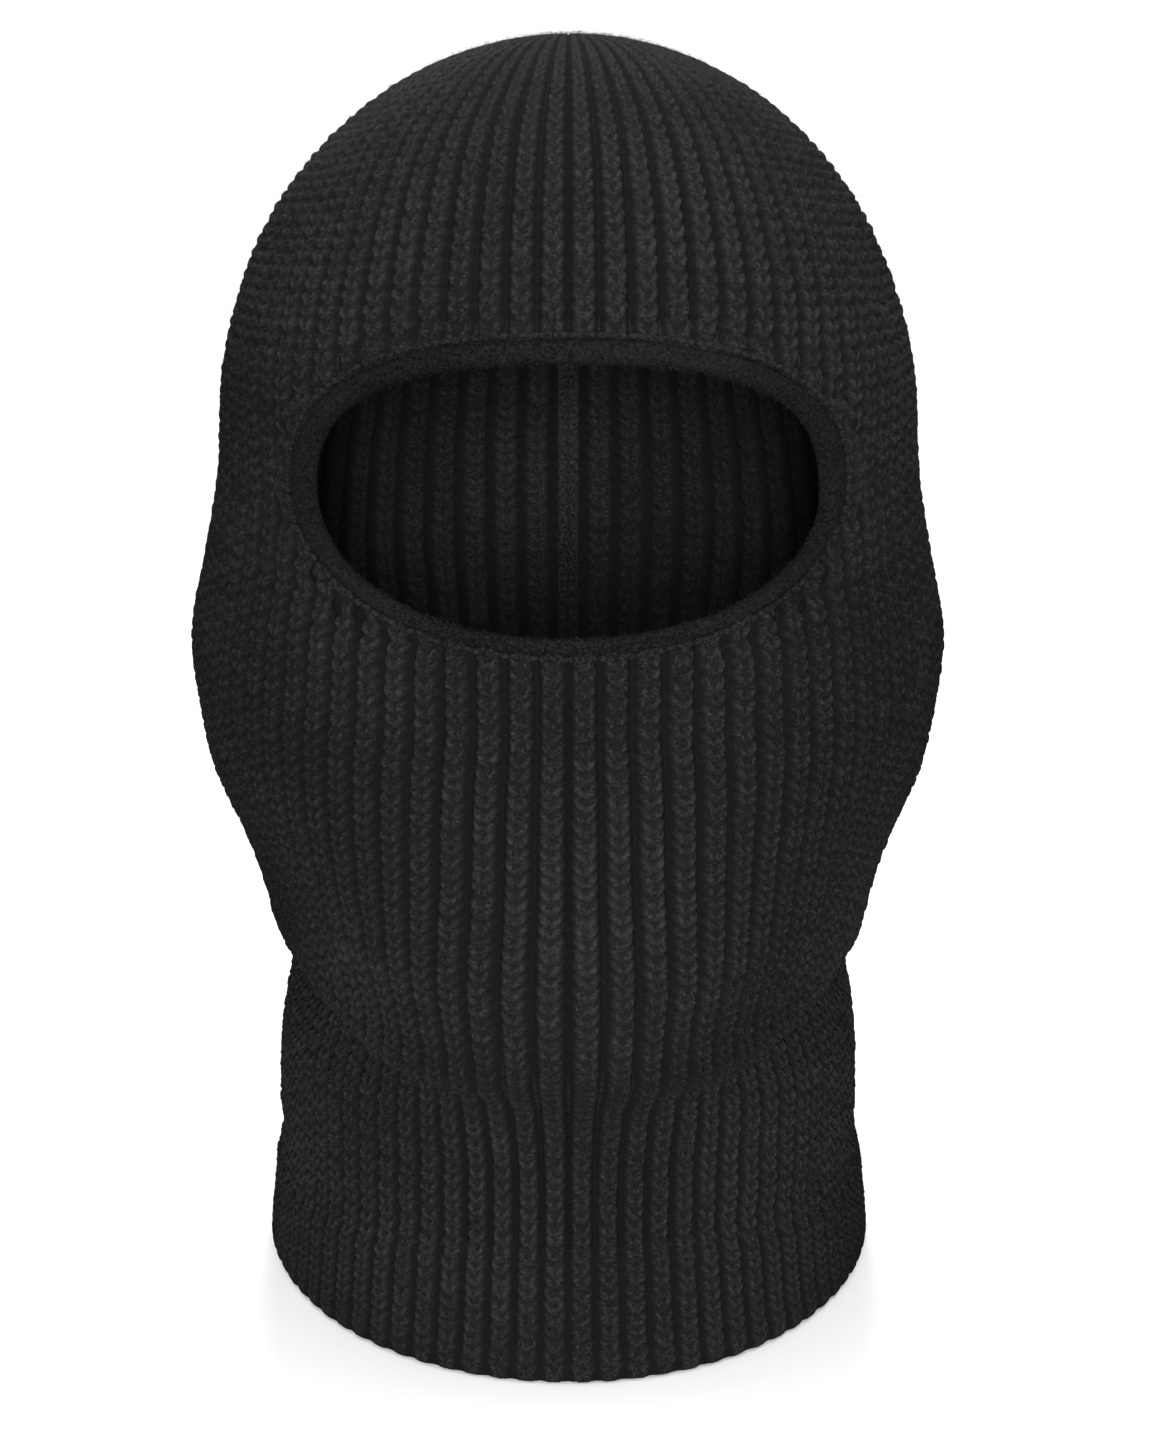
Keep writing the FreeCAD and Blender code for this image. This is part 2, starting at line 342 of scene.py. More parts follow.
STITCH_ASPECT = 0.5  # a course's height over a rib's pitch
LEG_LOW = (0.072, -0.42)  # a strand's two ends: share of the pitch, share of the course
LEG_HIGH = (0.322, 0.36)
LEG_RADIUS = 0.126
UNEVEN_LEAN = 0.020  # spread of the strands' lean, radius, height in the course and relief
UNEVEN_RADIUS = 0.09
UNEVEN_SHIFT = 0.07
UNEVEN_RELIEF = 0.12
FLAT_TOP = 0.25  # share of the pitch, each side of the rib's middle, before it bends down
GROOVE_EDGE = 0.47  # share of the pitch where it has bent down all the way
RIB_ROUND = 1.8  # how late the rib bends down: 1 is a straight flank
RIB_SHADE = 1.4  # the same for how the painted shade darkens its flank
GROOVE_SHADE = 0.9  # how dark the painted shade makes the groove between two ribs
GAP_SHADE = 0.75  # how dark the painted shade makes the gap between two strands
PURL_SHARE = 0.16  # height of the purl bumps down in the groove, of a strand's height
PURL_AT = 0.2  # where in its course each bump is highest
GAP_CLOSED = 0.6  # how much of the gap between two strands closes down in the groove
TIGHT_PITCH = 7.0 * MM  # a rib stretched wider than this is flatter, with an open groove
WIDE_PITCH = 9.5 * MM
WIDE_FLATTER = 0.35  # share that a rib at the wide pitch loses in relief and in flat top
WIDE_NARROWER = 0.45


def strand(across, along, low, high, radius):
    """Height, 0 to 1, of one strand that runs from low to high."""
    dx = high[0] - low[0]
    dy = high[1] - low[1]
    share = ((across - low[0]) * dx + (along - low[1]) * dy) / (dx * dx + dy * dy)
    held = np.clip(share, 0, 1)
    off_x = across - low[0] - held * dx
    off_y = along - low[1] - held * dy
    inside = 1 - (off_x ** 2 + off_y ** 2) / radius ** 2
    return np.sqrt(np.maximum(inside, 0)) * (1 - 0.5 * (2 * held - 1) ** 2)


def relief(ribs, courses, pitch, depth, height):
    """Rounded ribs with two strands per course: height under the crests, and painted shade.

    The second grid is painted shade for the colour: 0 on the strands and 1 down between the ribs.
    """
    rib = np.floor(ribs).astype(int) % RIBS
    across = (ribs - np.floor(ribs) - 0.5)[None, :]
    course = np.floor(courses).astype(int)[:, None]
    along = (courses[:, None] - course) * STITCH_ASPECT
    best = np.zeros(pitch.shape)
    for step in (-1, 0, 1):
        jitter = JITTER[:, (course + step) % JITTER_COURSES, rib[None, :]]
        lean = UNEVEN_LEAN * jitter[0]
        radius = LEG_RADIUS * (1 + UNEVEN_RADIUS * jitter[1])
        shift = step + UNEVEN_SHIFT * jitter[2]
        for side in (-1, 1):
            ends = [(side * x + lean, (y + shift) * STITCH_ASPECT) for x, y in (LEG_LOW, LEG_HIGH)]
            found = strand(across, along, *ends, radius) * (1 + UNEVEN_RELIEF * jitter[3])
            best = np.maximum(best, found)
    deep = np.minimum(depth * RIB_WEIGHT[rib][None, :], RIB_DEPTH_SHARE * pitch)
    stretched = np.clip((pitch - TIGHT_PITCH) / (WIDE_PITCH - TIGHT_PITCH), 0, 1)
    tall = np.minimum(height, STRAND_SHARE * pitch) * (1 - WIDE_FLATTER * stretched)
    flat = FLAT_TOP * (1 - WIDE_NARROWER * stretched)
    flank = np.clip((np.abs(across) - flat) / (GROOVE_EDGE - flat), 0, 1)
    bend = flank ** RIB_ROUND
    purl = PURL_SHARE * tall * bend * np.cos(2 * math.pi * (courses[:, None] - PURL_AT))
    gap = (1 - best) * (1 - GAP_CLOSED * bend)
    carved = purl - tall * gap - deep * bend
    return carved, np.clip(GAP_SHADE * gap + GROOVE_SHADE * flank ** RIB_SHADE, 0, 1)


# ---- folds ----
# heights are above the hem's lower edge; bearings are angles from the middle of the front
JAW_FOLD = 73 * MM  # height of the fold under the jaw, beside the chin
JAW_RISE = 13 * MM  # how much higher it is at the side of the neck
JAW_RISE_FROM = 0.44  # bearing where it begins to rise, and how far round it takes
JAW_RISE_SPAN = 0.6
JAW_MIDDLE = 1.0  # bearing of the fold's deepest place, and its reach to each side
JAW_REACH = 0.75
JAW_BULGE = 2.6 * MM  # how far the cloth hangs out over the fold, and over what height
BULGE_SPAN = 14 * MM
JAW_TUCK = 4.4 * MM  # how far it is drawn in under the fold, and over what height
TUCK_SPAN = 16 * MM
JAW_STEP = 2.6 * MM  # half height of the fold's steep edge
RIM_LIFT = 1 * MM  # the fold's stretched rim: its place over the fold and its width
RIM_SPAN = 4 * MM
SAG = 1.5 * MM  # dent above the turned hem, deepest at the sides
SAG_AT = 38 * MM  # its height at the front, how much lower it is aside, and its width
SAG_LOWER = 8 * MM
SAG_SPAN = 6 * MM
SAG_FULL = 0.9  # bearing from which the dent is at its deepest


def hump(distance, span):
    return np.exp(-(distance / span) ** 2)


def folds(points):
    """The worn folds: how far they push the cloth out, and 0 to 1 on the jaw fold's rim."""
    above_hem = points[..., 2] - HEM_BOTTOM
    bearing = np.arctan2(np.abs(points[..., 0]), -points[..., 1])
    beside = np.exp(-((bearing - JAW_MIDDLE) / JAW_REACH) ** 4)
    rise = JAW_RISE * np.clip((bearing - JAW_RISE_FROM) / JAW_RISE_SPAN, 0, 1)
    above = above_hem - JAW_FOLD - rise
    over = 0.5 + 0.5 * np.tanh(above / JAW_STEP)
    bulge = JAW_BULGE * hump(np.maximum(above, 0), BULGE_SPAN)
    tuck = JAW_TUCK * hump(np.minimum(above, 0), TUCK_SPAN)
    rim = hump(above - RIM_LIFT, RIM_SPAN) * beside
    aside = np.clip(bearing / SAG_FULL, 0, 1)
    sag = SAG * hump(above_hem - SAG_AT + SAG_LOWER * aside, SAG_SPAN) * aside
    return (bulge * over - tuck * (1 - over)) * beside - sag, rim


# ---- meshes ----
def put(name, data):
    """A new object in the scene."""
    made = bpy.data.objects.new(name, data)
    bpy.context.scene.collection.objects.link(made)
    return made


def mesh_object(name, points, faces, material, smooth=True, painted_shade=None):
    """A mesh piece; the shade value of each point is painted shade that its material darkens the colour
    by, deepest down in the stitches.
    """
    mesh = bpy.data.meshes.new(name)
    mesh.from_pydata([tuple(p) for p in points], [], faces)
    mesh.validate()
    if painted_shade is not None:
        mesh.attributes.new("painted_shade", "FLOAT", "POINT").data.foreach_set("value", painted_shade)
    mesh.polygons.foreach_set("use_smooth", [smooth] * len(mesh.polygons))
    mesh.materials.append(material)
    mesh.update()
    return put(name, mesh)


def finish_piece(piece, body="mask", stands_for=()):
    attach(piece, body)
    if stands_for:
        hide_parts(*stands_for)


SKEW = np.array([0.12, 0.31, 0.94])  # a direction that no tube here runs along


def tube_points(path, radii, sides, closed):
    """Rings of a round tube on a path, with one radius per point."""
    path = np.asarray(path, float)
    if closed:
        ahead = np.roll(path, -1, axis=0) - np.roll(path, 1, axis=0)
    else:
        ahead = np.gradient(path, axis=0)
    ahead = unit(ahead)
    frame_x = unit(np.cross(ahead, SKEW))
    frame_y = np.cross(ahead, frame_x)
    angle = circle(sides)[None, :, None]
    ring = np.cos(angle) * frame_x[:, None, :] + np.sin(angle) * frame_y[:, None, :]
    return path[:, None, :] + ring * np.asarray(radii, float)[:, None, None]


def ring_faces(rows, sides, closed):
    """Quads between rings of points, and from the last ring to the first where closed."""
    index = np.arange(rows * sides).reshape(rows, sides)
    beside = np.roll(index, -1, axis=1)
    corners = (index, beside, np.roll(beside, -1, axis=0), np.roll(index, -1, axis=0))
    faces = np.stack(corners, axis=2)
    return faces[:rows if closed else rows - 1].reshape(-1, 4).tolist()


class Builder:
    """Gathers closed tubes, grains and strips into one mesh."""

    def __init__(self):
        self.points = []
        self.faces = []
        self.count = 0

    def add(self, points, faces):
        self.points.append(points)
        self.faces.extend([[self.count + i for i in f] for f in faces])
        self.count += len(points)

    def grid(self, rings, closed_along):
        """A stack of closed rings, joined end to end or capped."""
        rows, sides = rings.shape[:2]
        faces = ring_faces(rows, sides, closed_along)
        if not closed_along:
            faces.append(list(range(sides - 1, -1, -1)))
            faces.append([(rows - 1) * sides + k for k in range(sides)])
        self.add(rings.reshape(-1, 3), faces)

    def tube(self, path, radius, sides=8, closed=False, swell=None):
        radii = np.full(len(path), radius) if swell is None else radius * np.asarray(swell)
        self.grid(tube_points(path, radii, sides, closed), closed)

    def grain(self, centre, along, length, radius, rows=5):
        """A short plump stitch with rounded ends; along is a unit vector."""
        share = np.linspace(-0.96, 0.96, rows)
        path = np.array(centre)[None, :] + np.outer(share * length / 2, along)
        swell = np.sqrt(np.maximum(1 - share ** 2, 0.03))
        self.tube(path, radius, swell=swell)

    def made(self, name, material):
        return mesh_object(name, np.concatenate(self.points), self.faces, material)

    def finish(self, name, material, stands_for):
        finish_piece(self.made(name, material), stands_for=(stands_for,))


# ---- the knit tube ----
BEHIND = 9.0  # stands for well outside the opening, on the back of the head
FADE_FROM = -0.3 * MM  # from and to this far past the band's shown edge the relief grows
FADE_TO = 2.6 * MM
FADED = 0.2  # share of the relief that is left where it runs into the band


def opening_offset(points, cut):
    """Below 1 inside the opening's outline grown by cut, above 1 outside, at the front."""
    across = np.abs(points[..., 0]) / (EYE_HALF + cut)
    up = points[..., 2]
    tall = np.where(up > 0, EYE_UP, EYE_DOWN) + cut
    power = np.where(up > 0, ROUND_ABOVE, ROUND_BELOW)
    inside = across ** power + (np.abs(up) / tall) ** power
    return np.where(points[..., 1] < 0, inside, BEHIND)


def band_shown(up_share):
    """How much of the band shows past the rib ends: more above the eyes than below."""
    return (3.6 + 0.5 * up_share) * MM


def edge_fade(points):
    """0 where the knit runs into the eye band, 1 away from it."""
    shown = band_shown(np.clip(points[..., 2] / EYE_UP, -1, 1))
    inner = opening_offset(points, shown + FADE_FROM)
    outer = opening_offset(points, shown + FADE_TO)
    return np.clip((inner - 1) / np.maximum(inner - outer, 1e-6), 0, 1) ** 0.6


def wander(points):
    """Soft unevenness of worn cloth, a fraction of a millimetre."""
    x, y, z = points[..., 0], points[..., 1], points[..., 2]
    slow = np.sin(31 * x + 17 * z + 1.3) * np.sin(43 * z - 23 * y + 0.4)
    quick = np.sin(83 * z + 37 * x) * np.sin(59 * y + 41 * z)
    return (0.45 * slow + 0.22 * quick) * MM


PINCH = 1.3 * MM  # how much each face is drawn in under the eye band
HEM_PINCH = 0.5 * MM  # the same behind the turned hem's upper edge
TUCK_FROM = -0.3  # courses over its linking chain where the knit comes free of it
TUCK_COURSES = 1.5
KNIT_CUT = 1.9 * MM  # how far outside the opening the knit ends, inside the band
RIM_HIGHLIGHT = 0.8  # share of the painted groove shade, and of the relief, that the jaw fold's rim loses: the rim is painted lighter, a painted highlight
RIM_FLAT = 0.5


def knit_surface(steps, outer):
    """Grid of the outer or inner face, with steps samples along each block, and the painted groove shade
    of each point as a fourth value.
    """
    ribs = np.arange(RIBS * RIB_BLOCKS * steps) / (RIB_BLOCKS * steps)
    rows = (TOP_COURSE - FIRST_COURSE) * COURSE_BLOCKS * steps + 1
    courses = np.linspace(FIRST_COURSE, TOP_COURSE, rows)
    base = lay(OUTER if outer else INNER, ribs, courses)
    guide = base if outer else lay(OUTER, ribs, courses)
    normal = outward(base, True)
    pitch = pitches(guide)
    fade = edge_fade(guide)
    tuck = np.clip((courses - HEM_COURSE - TUCK_FROM) / TUCK_COURSES, 0, 1)[:, None]
    drawn_in = PINCH * (1 - fade) + HEM_PINCH * (1 - tuck)
    fold, rim = folds(guide)
    shift = wander(guide) * fade + fold * tuck
    strength = FADED + (1 - FADED) * fade
    if outer:
        carved, painted_shade = relief(ribs, courses, pitch, RIB_DEPTH, STRAND_HEIGHT)
        # painted highlight: the jaw fold's rim keeps less of the painted groove shade
        painted_shade = painted_shade * (1 - RIM_HIGHLIGHT * rim)
        height = (carved + SKIN_LIFT) * strength * (1 - RIM_FLAT * rim) - drawn_in
    else:
        carved, painted_shade = relief(ribs + 0.5, courses, pitch, INNER_DEPTH, INNER_STRAND)
        height = -carved * strength + drawn_in
    surface = base + normal * (height + shift)[..., None]
    return np.concatenate([surface, painted_shade[..., None]], axis=2), guide


def knit_tube(material):
    """All sectors of the knit; returns its outer points and the smooth shell under them."""
    outer, guide = knit_surface(OUTER_STEPS, True)
    inner, _ = knit_surface(INNER_STEPS, False)
    block_middles = guide[OUTER_STEPS // 2::OUTER_STEPS, OUTER_STEPS // 2::OUTER_STEPS]
    kept = opening_offset(block_middles, KNIT_CUT) > 1
    wide = kept.shape[1] // SECTORS
    for sector in range(SECTORS):
        name = f"knit_sector_{sector + 1:02d}"
        piece = knit_piece(name, outer, inner, kept, sector * wide, wide, material)
        finish_piece(piece, stands_for=("hood_knit", "crown_knit", "neck_knit"))
    return outer[..., :3], guide


# a block's sides: its points there, steps to the block beyond, whether its wall begins inside
BLOCK_SIDES = (
    ((0, ...), -1, 0, True), ((-1, ...), 1, 0, False), ((..., 0), 0, -1, False), ((..., -1), 0, 1, True),
)


def block_side(index, steps, up, across, side):
    """Point numbers along one side of a block, upwards or to the right."""
    block = index[up * steps:(up + 1) * steps + 1, across * steps:(across + 1) * steps + 1]
    return block[side].tolist()


def knit_piece(name, outer, inner, kept, first, wide, material):
    """One closed piece of fabric: outer face, inner face and the walls between them."""
    held = kept[:, first:first + wide]
    grids = []
    numbers = []
    faces = []
    count = 0
    for grid, steps, outside in ((outer, OUTER_STEPS, True), (inner, INNER_STEPS, False)):
        columns = (np.arange(wide * steps + 1) + first * steps) % grid.shape[1]
        part = grid[:, columns]
        index = count + np.arange(part[..., 0].size).reshape(part.shape[:2])
        count += index.size
        grids.append(part.reshape(-1, 4))
        numbers.append(index)
        mask = np.repeat(np.repeat(held, steps, axis=0), steps, axis=1)
        corners = (index[:-1, :-1], index[:-1, 1:], index[1:, 1:], index[1:, :-1])
        quads = np.stack([corner[mask] for corner in corners], axis=1)
        faces.extend((quads if outside else quads[:, [0, 3, 2, 1]]).tolist())
    walls = []
    bordered = np.pad(held, 1)
    for up, across in zip(*np.nonzero(held)):
        for side, step_up, step_across, inner_first in BLOCK_SIDES:
            if bordered[up + 1 + step_up, across + 1 + step_across]:
                continue
            lines = [
                block_side(index, steps, up, across, side)
                for index, steps in zip(numbers, (OUTER_STEPS, INNER_STEPS))
            ]
            there, back = lines[::-1] if inner_first else lines
            walls.append(there + back[::-1])
    faces.extend(walls)
    points = np.concatenate(grids)
    used = np.unique(np.concatenate(faces))
    renumber = np.zeros(len(points), int)
    renumber[used] = np.arange(len(used))
    faces = [renumber[face].tolist() for face in faces]
    # the fourth value, the painted groove shade, goes onto the mesh for its material
    piece = mesh_object(name, points[used, :3], faces, material, painted_shade=points[used, 3])
    mesh = piece.data
    smooth = len(faces) - len(walls)
    mesh.polygons.foreach_set("use_smooth", [i < smooth for i in range(len(mesh.polygons))])
    wall_edges = set()
    for face in faces[smooth:]:
        wall_edges.update((min(a, b), max(a, b)) for a, b in zip(face, face[1:] + face[:1]))
    sharp = [tuple(sorted(e.vertices)) in wall_edges for e in mesh.edges]
    mesh.attributes.new("sharp_edge", "BOOLEAN", "EDGE").data.foreach_set("value", sharp)
    mesh.update()
    return piece


# ---- the turned hem ----
HEM_TURN = 0.75  # course where its outer face ends and the turn inwards begins
HEM_OVER = 0.25  # courses that its upper edge stands over the linking chain
HEM_DEPTH = 1.6 * MM
HEM_INNER_DEPTH = 0.9 * MM
HEM_INNER_SUNK = 0.5 * MM
LIP = 0.7  # courses over which its upper edge is rounded
LIP_RELIEF = 0.6  # relief that is left at that edge, and how far it is drawn in
LIP_IN = 1.0 * MM
WORN = 0.35  # relief that is left at the turn, and courses until it is full
WORN_COURSES = 2.5


def hem_ring(material):
    """Closed ring: outer face, rounded turn at the bottom, inner face, rounded top."""
    ribs = np.arange(RIBS * 12) / 12
    top = HEM_COURSE + HEM_OVER
    outer_courses = np.linspace(top, HEM_TURN, 72)
    inner_courses = np.linspace(HEM_TURN, top - 0.15, 30)
    outer = lay(OUTER, ribs, outer_courses)
    inner = lay(INNER, ribs, inner_courses)
    turn = turn_from_front(ribs)
    proud = HEM_PROUD * np.clip(turn * 4, 0, 1)
    lip = np.clip((top - outer_courses) / LIP, 0, 1)[:, None]
    carved, outer_painted_shade = relief(ribs, outer_courses, pitches(outer), HEM_DEPTH, INNER_STRAND)
    carved *= np.clip((outer_courses - HEM_TURN) / WORN_COURSES, WORN, 1)[:, None]
    height = (carved + SKIN_LIFT) * (LIP_RELIEF + (1 - LIP_RELIEF) * lip)
    height += proud + wander(outer) - LIP_IN * (1 - lip) ** 2
    outer = outer - outward(outer, True) * height[..., None]  # its courses run downwards
    beside = np.sin(math.pi * np.clip(turn * 1.25, 0, 1)) ** 2
    outer[..., 2] -= HEM_DROP * beside * np.linspace(1, 0, len(outer))[:, None]
    depth, inner_painted_shade = relief(
        ribs + 0.5, inner_courses, pitches(inner), HEM_INNER_DEPTH, INNER_STRAND
    )
    inner = inner - outward(inner, True) * (depth + HEM_INNER_SUNK)[..., None]
    across = (outer[-1] - inner[0]) / 2
    centre = (outer[-1] + inner[0]) / 2
    drop = centre[:, 2] - HEM_BOTTOM
    turned = []
    for angle in np.linspace(0, math.pi, 10)[1:-1]:
        row = centre + across * math.cos(angle)
        row[:, 2] -= drop * math.sin(angle) ** 0.8
        turned.append(row)
    rounded_top = (outer[0] + inner[-1]) / 2
    rounded_top[:, 2] += 0.8 * MM
    rings = np.concatenate([outer, np.array(turned), inner, rounded_top[None]])
    # painted shade for the hem's material, darkest down between its ribs
    painted_shade = np.zeros(rings.shape[:2])
    painted_shade[:len(outer)] = outer_painted_shade
    painted_shade[len(outer):-len(inner) - 1] = outer_painted_shade[-1]
    painted_shade[-len(inner) - 1:-1] = inner_painted_shade
    faces = [face[:1] + face[:0:-1] for face in ring_faces(*painted_shade.shape, True)]
    points = rings.reshape(-1, 3)
    piece = mesh_object("hem_turned", points, faces, material, painted_shade=painted_shade.ravel())
    finish_piece(piece, stands_for=("hem_welt",))


# ---- the eye opening ----
def outline(angle, grow):
    """Point (x, z) of the opening's outline grown by grow."""
    across, up = math.cos(angle), math.sin(angle)
    power = ROUND_ABOVE if up > 0 else ROUND_BELOW
    tall = EYE_UP if up > 0 else EYE_DOWN
    return (EYE_HALF + grow) * squared(across, 2 / power), (tall + grow) * squared(up, 2 / power)


def even_angles(count):
    """Angles that step evenly along the outline."""
    angles = np.linspace(0, 2 * math.pi, 4001)
    along = lengths_along(np.array([outline(a, BAND_WIDTH / 2) for a in angles]))
    return np.interp(np.linspace(0, along[-1], count + 1)[:-1], along, angles)


def band_point(angle, grow):
    """Point of the band's outer face."""
    x, z = outline(angle, grow)
    return np.array(BAND_TREE.ray_cast(Vector((x, -FAR, z)), Vector((0, 1, 0)), FAR)[0])


def band_frames(count):
    """Middle of the band, with its across, outward and along directions and half width."""
    angles = even_angles(count)
    near = np.array([band_point(a, 0.25 * MM) for a in angles])
    far = np.array([band_point(a, band_shown(math.sin(a)) + 0.2 * MM) for a in angles])
    for _ in range(3):
        near = smooth_ring(near)
        far = smooth_ring(far)
    face = (near + far) / 2
    across = far - near
    half = np.linalg.norm(across, axis=1) / 2 + 0.25 * MM
    across = unit(across)
    along = unit(np.roll(face, -1, axis=0) - np.roll(face, 1, axis=0))
    out = unit(np.cross(across, along))
    out *= np.sign(-out[:, 1:2])
    return face, across, out, along, half


BAND_THICK = 4.3 * MM
BAND_SUNK = 0.9 * MM  # below the CAD band's face, so that the rib ends stand over it
BAND_ROUND = 2 / 2.7  # power that rounds its section: 1 is an ellipse, less is squarer
BAND_ROWS = 12  # rows of fine stitches round its section
FINE_STITCH = 1.35 * MM
FINE_HEIGHT = 0.10 * MM
ROW_HEIGHT = 0.05 * MM
BAND_WAVES = ((0.18 * MM, 190, 0), (0.12 * MM, 71, 1))  # height, radians per metre, start


def eye_band(material):
    """Folded trim with a fine jersey face, as one closed ring."""
    face, across, out, _, half = band_frames(1100)
    middle_line = face - out * (BAND_SUNK + BAND_THICK / 2)
    place = np.cumsum(np.linalg.norm(np.roll(face, -1, axis=0) - face, axis=1))
    phase = place / place[-1] * round(place[-1] / FINE_STITCH)
    turn = circle(44)
    wide = squared(np.cos(turn), BAND_ROUND)
    thick = squared(np.sin(turn), BAND_ROUND)
    row = turn / (2 * math.pi) * BAND_ROWS
    ladder = np.abs((row % 1) - 0.5) * 1.1
    fine = FINE_HEIGHT * np.cos(2 * math.pi * (phase[:, None] + ladder))
    fine += ROW_HEIGHT * np.cos(2 * math.pi * row)
    slow = sum(high * np.sin(place * rate + start) for high, rate, start in BAND_WAVES)[:, None]
    across_part = wide * (half[:, None] + fine + slow)
    out_part = thick * (BAND_THICK / 2 + fine + 0.4 * slow)
    ring = across[:, None, :] * across_part[..., None] + out[:, None, :] * out_part[..., None]
    builder = Builder()
    builder.grid(middle_line[:, None, :] + ring, True)
    builder.finish("eye_band_trim", material, "eye_band")


LINKS = 150  # linking stitches round the opening, on each face
LINK_OUT = 0.55 * MM  # from the band's outer edge
LINK_ROWS = ((-1.0 * MM, 0.75 * MM), (-5.0 * MM, 0.6 * MM))  # depth and radius, outside, inside


def linking(material):
    """The chain of linking stitches on both faces, along the outer edge of the band."""
    builder = Builder()
    face, across, out, along, half = band_frames(LINKS)
    for k in range(LINKS):
        edge = face[k] + across[k] * (half[k] + LINK_OUT)
        for depth, radius in LINK_ROWS:
            lean = unit(along[k] + 0.25 * out[k] * rng.normal(0, 0.3))
            builder.grain(edge + out[k] * depth, lean, 2.5 * MM, radius)
    builder.finish("eye_band_linking", material, "band_linking_thread")


def join_tack(material):
    """Whip stitches over the place where the trim's two ends meet, inside."""
    builder = Builder()
    low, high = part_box("band_join_tack")
    for k in range(6):
        way = unit(np.array([0.5 if k % 2 else -0.5, 0.12, 1.0]))
        aside = (high.x - low.x) * ((k + 0.5) / 6 - 0.5)
        builder.grain(middle("band_join_tack") + aside * SIDE, way, 4.2 * MM, 0.55 * MM, rows=7)
    builder.finish("band_join_tack_stitches", material, "band_join_tack")


# ---- stray fibres ----
FIBRE_RADIUS = 0.035 * MM
FIBRE_ROOT = 0.4 * MM  # how deep its root lies in the cloth
KNIT_FIBRES = 26000  # before thinning out
BAND_FIBRES = 5200
FIBRE_FACES = ((2, 1, 0), (0, 1, 4, 3), (1, 2, 5, 4), (2, 0, 3, 5), (3, 4, 6), (4, 5, 6), (5, 3, 6))


def fibre_piece(name, roots, normals, length, material):
    """Short bent hairs, each a closed three-sided needle with its root in the cloth."""
    count = len(roots)
    loose = rng.normal(0, 1, (count, 3))
    loose = unit(loose - (loose * normals).sum(axis=1, keepdims=True) * normals)
    long = length * rng.uniform(0.5, 1.3, (count, 1))
    first = normals * 0.55 + loose * rng.uniform(0.3, 1.1, (count, 1))
    second = first * 0.4 + loose * rng.uniform(0.3, 1.0, (count, 1)) + rng.normal(0, 0.35, (count, 3))
    bend = roots + first * long * 0.5
    tip = bend + second * long * 0.5
    side = unit(np.cross(first, loose + 0.3 * normals))
    other = unit(np.cross(first, side))
    points = []
    for centre, wide in ((roots - normals * FIBRE_ROOT, 1.0), (bend, 0.8)):
        for angle in circle(3):
            spoke = side * math.cos(angle) + other * math.sin(angle)
            points.append(centre + spoke * FIBRE_RADIUS * wide)
    points.append(tip)
    points = np.stack(points, axis=1).reshape(-1, 3)
    faces = [[7 * k + i for i in face] for k in range(count) for face in FIBRE_FACES]
    finish_piece(mesh_object(name, points, faces, material, smooth=False))


def knit_fuzz(outer, guide, material):
    """Hairs all over the outside of the knit, more of them on the crown."""
    rows = rng.integers(0, outer.shape[0] - 1, KNIT_FIBRES)
    columns = rng.integers(0, outer.shape[1], KNIT_FIBRES)
    roots = outer[rows, columns]
    on_cloth = opening_offset(guide[rows, columns], BAND_WIDTH) > 1
    wanted = rng.uniform(0, 1, KNIT_FIBRES) < 0.45 + 0.5 * (roots[:, 2] > 0.03)
    roots = roots[on_cloth & wanted & (roots[:, 2] > HEM_TOP)]
    normals = unit(roots + (0, 0, 0.02))
    fibre_piece("knit_fibres", roots, normals, 2.0 * MM, material)


def band_fuzz(material):
    """Denser hairs on the brushed eye band."""
    places = 650
    face, across, out, _, half = band_frames(places)
    at = rng.integers(0, places, BAND_FIBRES)
    turn = rng.uniform(-0.15, 1.15, BAND_FIBRES)[:, None] * math.pi
    wide = np.cos(turn) * half[at][:, None]
    thick = np.sin(turn) * BAND_THICK / 2
    centre = face[at] - out[at] * (BAND_SUNK + BAND_THICK / 2)
    roots = centre + (across[at] * wide + out[at] * thick) * 0.97
    normals = unit(across[at] * np.cos(turn) * 0.7 + out[at] * np.sin(turn))
    fibre_piece("band_fibres", roots, normals, 1.3 * MM, material)


# ---- the gather ----
DRAW_RADIUS = 2.3 * MM  # of the ring that the draw yarn makes
DRAW_RIPPLE = 0.35 * MM
KNOT_SIZE = 0.62 * MM
KNOT_DOWN = 2.8 * MM  # from its node's top


def plied(builder, path, radius, turns, closed=False):
    """A two-ply yarn along a path."""
    path = np.asarray(path, float)
    ring = tube_points(path, np.full(len(path), radius * 0.48), 4, closed)
    first = ring[:, 0] - path
    second = ring[:, 1] - path
    angle = 2 * math.pi * turns * np.arange(len(path)) / (len(path) - (0 if closed else 1))
    for start in (0, math.pi):
        twist = path + first * np.cos(angle + start)[:, None] + second * np.sin(angle + start)[:, None]
        builder.tube(twist, radius * 0.62, closed=closed)


def draw_yarn(material):
    """Ring of yarn through the last course, at the bottom of the pucker."""
    angle = circle(72)
    ring = np.outer(np.cos(angle), SIDE) + np.outer(np.sin(angle), THIRD)
    path = GATHER + DRAW_RADIUS * ring
    path += np.outer(DRAW_RIPPLE * np.sin(5 * angle), AXIS)
    builder = Builder()
    plied(builder, path, 1.0 * MM, 5, closed=True)
    builder.finish("crown_draw_yarn_ring", material, "crown_draw_yarn")


